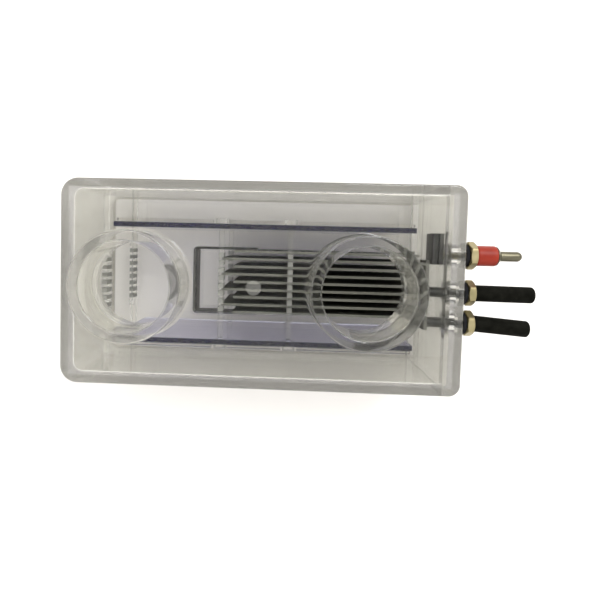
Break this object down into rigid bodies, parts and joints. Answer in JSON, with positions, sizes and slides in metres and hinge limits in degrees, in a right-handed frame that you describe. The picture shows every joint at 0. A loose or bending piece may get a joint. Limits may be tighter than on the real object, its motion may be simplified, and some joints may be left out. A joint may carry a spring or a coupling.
{
  "type": "salt chlorine generator cell",
  "caption": "Clear box-shaped salt chlorinator cell with side-by-side pipe ports, an edge-on titanium plate pack, sensor plug and booted power terminals.",
  "frame": {"origin": "centre of the flat back face of the housing", "axes": "+X along the housing towards the terminals, +Z out of the two ports, +Y towards the sensor terminal's side"},
  "size_m": [0.2792, 0.12, 0.101],
  "materials": {
    "clear_housing": "clear moulded plastic, slightly grey, polished",
    "tinted_sheet": "clear sheet tinted dark blue, dark at its edges",
    "clear_comb": "clear plastic, sawn edges",
    "bare_titanium": "bare titanium sheet, dull",
    "coated_titanium": "titanium with a dark matt oxide coating",
    "dark_titanium": "darkened titanium",
    "plug_metal": "dull plated metal",
    "seal_rubber": "black rubber",
    "nut_brass": "pale turned brass",
    "red_plastic": "red moulded insulator",
    "boot_rubber": "black soft rubber"
  },
  "bodies": {
    "cell": {"cell_body": "clear_housing", "end_cap": "clear_housing", "left_port": "clear_housing", "right_port": "clear_housing", "upper_channel_sheet": "tinted_sheet", "lower_channel_sheet": "tinted_sheet", "cathode_plate_1": "bare_titanium", "cathode_plate_2": "bare_titanium", "cathode_plate_3": "bare_titanium", "cathode_plate_4": "bare_titanium", "cathode_plate_5": "bare_titanium", "anode_plate_1": "coated_titanium", "anode_plate_2": "coated_titanium", "anode_plate_3": "coated_titanium", "anode_plate_4": "coated_titanium", "cathode_link_strap": "dark_titanium", "anode_bus_bar": "bare_titanium", "cathode_bus_bar": "bare_titanium", "end_comb_front": "clear_comb", "end_comb_rear": "clear_comb", "left_comb_front": "clear_comb", "left_comb_rear": "clear_comb", "middle_comb_front": "clear_comb", "middle_comb_rear": "clear_comb", "sensor_stud": "plug_metal", "anode_stud": "dark_titanium", "cathode_stud": "dark_titanium", "sensor_seal_washer": "seal_rubber", "anode_seal_washer": "seal_rubber", "cathode_seal_washer": "seal_rubber", "sensor_insulator": "red_plastic"},
    "sensor_nut": {"sensor_nut": "nut_brass"},
    "anode_nut": {"anode_nut": "nut_brass"},
    "cathode_nut": {"cathode_nut": "nut_brass"},
    "anode_boot": {"anode_boot": "boot_rubber"},
    "cathode_boot": {"cathode_boot": "boot_rubber"}
  },
  "joints": [
    {"name": "sensor_nut_turn", "type": "hinge", "parent": "cell", "child": "sensor_nut", "pos_m": [0.125, 0.0203, 0.056], "axis": [1, 0, 0], "continuous": true},
    {"name": "anode_nut_turn", "type": "hinge", "parent": "cell", "child": "anode_nut", "pos_m": [0.125, -0.0022, 0.056], "axis": [1, 0, 0], "continuous": true},
    {"name": "cathode_nut_turn", "type": "hinge", "parent": "cell", "child": "cathode_nut", "pos_m": [0.125, -0.0205, 0.056], "axis": [1, 0, 0], "continuous": true},
    {"name": "anode_boot_pull", "type": "slide", "parent": "cell", "child": "anode_boot", "axis": [1, 0, 0], "range_m": [0, 0.012]},
    {"name": "cathode_boot_pull", "type": "slide", "parent": "cell", "child": "cathode_boot", "axis": [1, 0, 0], "range_m": [0, 0.012]}
  ]
}
